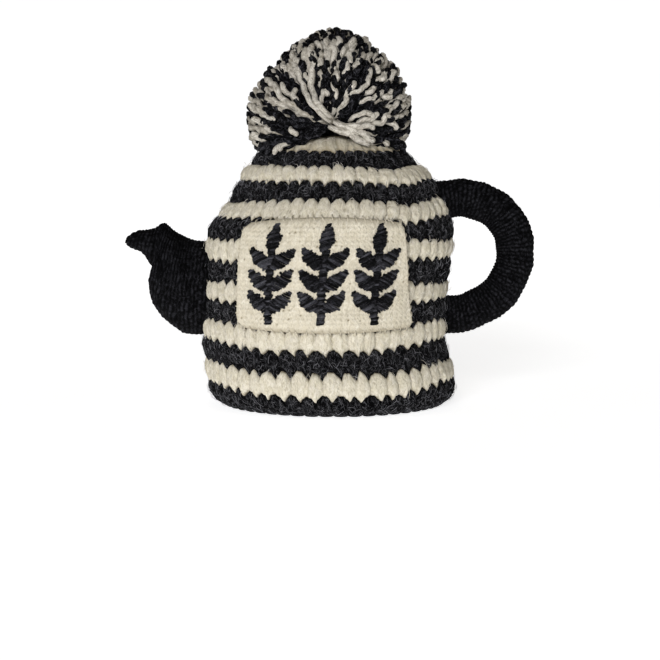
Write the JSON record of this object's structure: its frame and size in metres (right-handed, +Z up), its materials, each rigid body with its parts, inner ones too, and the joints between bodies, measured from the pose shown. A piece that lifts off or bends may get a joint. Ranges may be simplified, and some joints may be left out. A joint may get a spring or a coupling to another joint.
{
  "type": "tea cosy",
  "caption": "Crocheted tea cosy shaped like a teapot: a striped ribbed dome with a stuffed spout and handle, a knitted panel with leaf sprigs and a pompom.",
  "frame": {"origin": "middle of the whole part's footprint, on the plane that the hem rests on", "axes": "+Z up from the hem to the pompom, -Y out of the embroidered panel, -X along the spout and +X along the handle"},
  "size_m": [0.3256, 0.2011, 0.3023],
  "materials": {
    "chunky_yarn": "chunky wool-blend yarn in puff stitches, charcoal and cream by turns",
    "charcoal_crochet": "fine wool yarn in single crochet, matt and slightly hairy",
    "cream_knit": "fine wool knit, matt",
    "charcoal_satin_stitch": "raised satin stitches in fine wool",
    "pompom_yarn": "cut strands of chunky cream and charcoal yarn"
  },
  "bodies": {
    "root": {"body": "chunky_yarn", "spout": "charcoal_crochet", "handle": "charcoal_crochet", "panel": "cream_knit", "sprig_left": "charcoal_satin_stitch", "sprig_middle": "charcoal_satin_stitch", "sprig_right": "charcoal_satin_stitch", "pompom": "pompom_yarn"}
  },
  "joints": []
}
